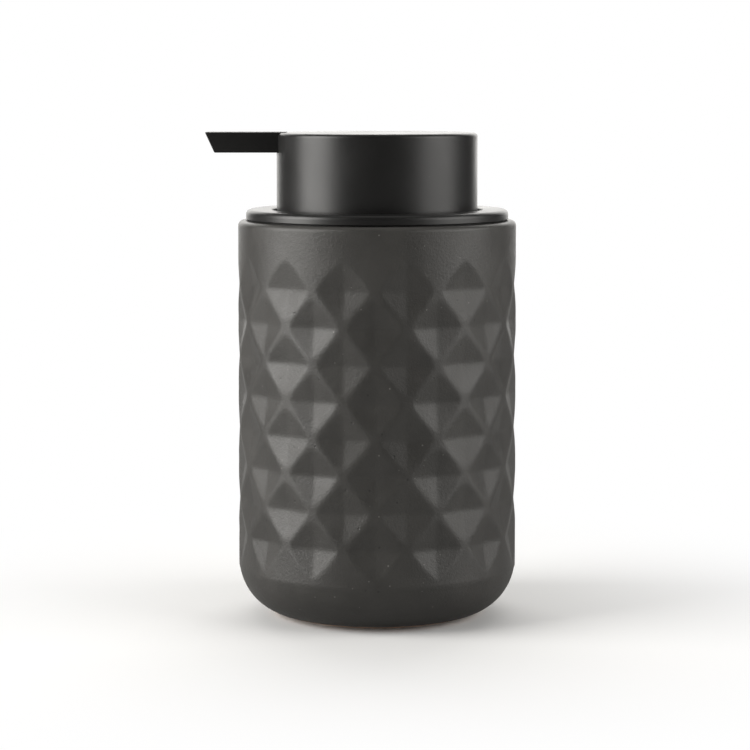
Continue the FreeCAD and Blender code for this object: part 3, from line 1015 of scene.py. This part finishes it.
class DISPENSER_OT_spring(bpy.types.Operator):
    """Make the return spring with closed end turns"""
    bl_idname = "dispenser.spring"
    bl_label = "Return Spring"

    def execute(self, context):
        settings = context.scene.dispenser_pump
        bottom, top = low("return_spring"), high("return_spring")
        radius = reach("return_spring") - SPRING_WIRE
        start = Matrix.Translation((radius, 0, bottom + SPRING_WIRE))
        bm = bmesh.new()
        bmesh.ops.create_circle(
            bm, cap_ends=True, segments=12, radius=SPRING_WIRE,
            matrix=start @ Matrix.Rotation(math.pi / 2, 4, "X"),
        )
        geom = [*bm.verts, *bm.edges, *bm.faces]
        thick = 2 * SPRING_WIRE
        open_rise = (top - bottom - 3 * thick) / settings.spring_turns
        closed = (1, thick)
        per_turn = 36
        for turns, rise in (closed, (settings.spring_turns, open_rise), closed):
            made = bmesh.ops.spin(
                bm, geom=geom, cent=(0, 0, 0), axis=(0, 0, 1), dvec=(0, 0, rise / per_turn),
                angle=2 * math.pi * turns, steps=per_turn * turns,
            )
            geom = made["geom_last"]
        bmesh.ops.recalc_face_normals(bm, faces=bm.faces)
        coil = piece(
            "return_coil", bm, steel_material(settings.steel), "pump", "stainless", "return_spring",
        )
        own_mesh(coil)
        return {"FINISHED"}


class DISPENSER_OT_moulded_pieces(bpy.types.Operator):
    """Give the small pieces inside the pump their materials"""
    bl_idname = "dispenser.moulded_pieces"
    bl_label = "Small Pump Pieces"

    def execute(self, context):
        settings = context.scene.dispenser_pump
        white = plastic_material("White Moulding", (0.78, 0.78, 0.76), 0.35, 1500.0)
        grey = plastic_material("Grey Silicone", (0.28, 0.28, 0.29), 0.6, 1500.0)
        steel = bpy.data.materials["Stainless Wire"]
        finishes = {
            "lock_nut": white,
            "stem_guide": white,
            "ball_retainer": white,
            "stem": white,
            "piston": white,
            "piston_rod": white,
            "housing_gasket": grey,
            "inlet_ball": steel,
            "outlet_ball": steel,
            "head_core": black_plastic(context),
            "delivery_tube": bpy.data.materials["Milky Polypropylene"],
        }
        for name, material in finishes.items():
            dress(name, material)
        return {"FINISHED"}


# ---------------------------------------------------------------- stage

def add_panel(name, azimuth, elevation, distance, size, brightness):
    """Rectangular soft light that faces the dispenser, hidden from the camera."""
    light = bpy.data.lights.new(name, "AREA")
    light.shape = "RECTANGLE"
    light.size, light.size_y = size
    light.color = (1.0, 0.985, 0.955)
    light.energy = brightness * math.pi * size[0] * size[1]
    made = bpy.data.objects.new(name, light)
    around, up = math.radians(azimuth), math.radians(elevation)
    away = Vector((math.sin(around) * math.cos(up), -math.cos(around) * math.cos(up), math.sin(up)))
    aim = Vector((0, 0, 0.07))
    made.location = aim + away * distance
    made.rotation_euler = away.to_track_quat("Z", "Y").to_euler()
    made.visible_camera = False
    bpy.context.scene.collection.objects.link(made)


class DISPENSER_OT_stage(bpy.types.Operator):
    """Set the camera, the floor and the studio lights"""
    bl_idname = "dispenser.stage"
    bl_label = "Stage"

    def execute(self, context):
        settings = context.scene.dispenser_studio
        camera = bpy.data.cameras.new("Camera")
        camera.lens = settings.lens
        camera.sensor_width = 36.0
        eye = bpy.data.objects.new("Camera", camera)
        eye.location = (settings.aside, -settings.distance, settings.eye_height)
        eye.rotation_euler = (math.pi / 2 - settings.tilt, 0, 0)
        context.scene.collection.objects.link(eye)
        context.scene.camera = eye

        bm = bmesh.new()
        bmesh.ops.create_circle(bm, cap_ends=True, segments=96, radius=6.0)
        mesh = bpy.data.meshes.new("floor")
        bm.to_mesh(mesh)
        bm.free()
        floor = bpy.data.objects.new("floor", mesh)
        mesh.materials.append(floor_material())
        context.scene.collection.objects.link(floor)

        # Name, azimuth and elevation in degrees, distance, size, brightness
        panels = (
            ("left_softbox", -74, 18, 1.0, (0.72, 0.82), settings.left),
            ("right_softbox", 73, 17, 1.0, (0.84, 0.86), settings.right),
            ("back_panel", 180, 18, 1.6, (2.0, 1.6), settings.back),
            ("overhead_panel", 180, 80, 1.2, (1.2, 1.2), settings.overhead),
        )
        for panel in panels:
            add_panel(*panel)

        world = bpy.data.worlds.new("Studio")
        context.scene.world = world
        world.use_nodes = True
        tree = world.node_tree
        tree.nodes.clear()
        path = tree.nodes.new("ShaderNodeLightPath")
        room = node(tree, "ShaderNodeBackground", in_Strength=settings.ambient)
        white = node(tree, "ShaderNodeBackground", in_Strength=1.0)
        for shader in (room, white):
            shader.inputs["Color"].default_value = (1, 1, 1, 1)
        mix = tree.nodes.new("ShaderNodeMixShader")
        tree.links.new(path.outputs["Is Camera Ray"], mix.inputs[0])
        tree.links.new(room.outputs[0], mix.inputs[1])
        tree.links.new(white.outputs[0], mix.inputs[2])
        tree.links.new(mix.outputs[0], tree.nodes.new("ShaderNodeOutputWorld").inputs[0])
        context.scene.view_settings.view_transform = "Standard"
        return {"FINISHED"}


# ---------------------------------------------------------------- panel and registration

STEPS = (
    DISPENSER_OT_stage,
    DISPENSER_OT_bottle,
    DISPENSER_OT_collar,
    DISPENSER_OT_seals,
    DISPENSER_OT_press_head,
    DISPENSER_OT_spout,
    DISPENSER_OT_pump_tubes,
    DISPENSER_OT_spring,
    DISPENSER_OT_moulded_pieces,
)
SETTINGS = {
    "dispenser_bottle": BottleSettings,
    "dispenser_pump": PumpSettings,
    "dispenser_studio": StudioSettings,
}


class DISPENSER_PT_panel(bpy.types.Panel):
    """Settings and steps of the soap pump dispenser"""
    bl_idname = "DISPENSER_PT_panel"
    bl_label = "Soap Pump Dispenser"
    bl_space_type = "VIEW_3D"
    bl_region_type = "UI"
    bl_category = "Dispenser"

    def draw(self, context):
        for attribute, group in SETTINGS.items():
            box = self.layout.box()
            for name in group.__annotations__:
                box.prop(getattr(context.scene, attribute), name)
        for step in STEPS:
            self.layout.operator(step.bl_idname)


def register():
    for cls in (*SETTINGS.values(), *STEPS, DISPENSER_PT_panel):
        bpy.utils.register_class(cls)
    for attribute, group in SETTINGS.items():
        setattr(bpy.types.Scene, attribute, PointerProperty(type=group))


def unregister():
    for attribute in SETTINGS:
        delattr(bpy.types.Scene, attribute)
    for cls in reversed((*SETTINGS.values(), *STEPS, DISPENSER_PT_panel)):
        bpy.utils.unregister_class(cls)


def main():
    """Registers the add-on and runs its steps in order."""
    register()
    for step in STEPS:
        area, name = step.bl_idname.split(".")
        getattr(getattr(bpy.ops, area), name)()


if __name__ == "__main__":
    main()
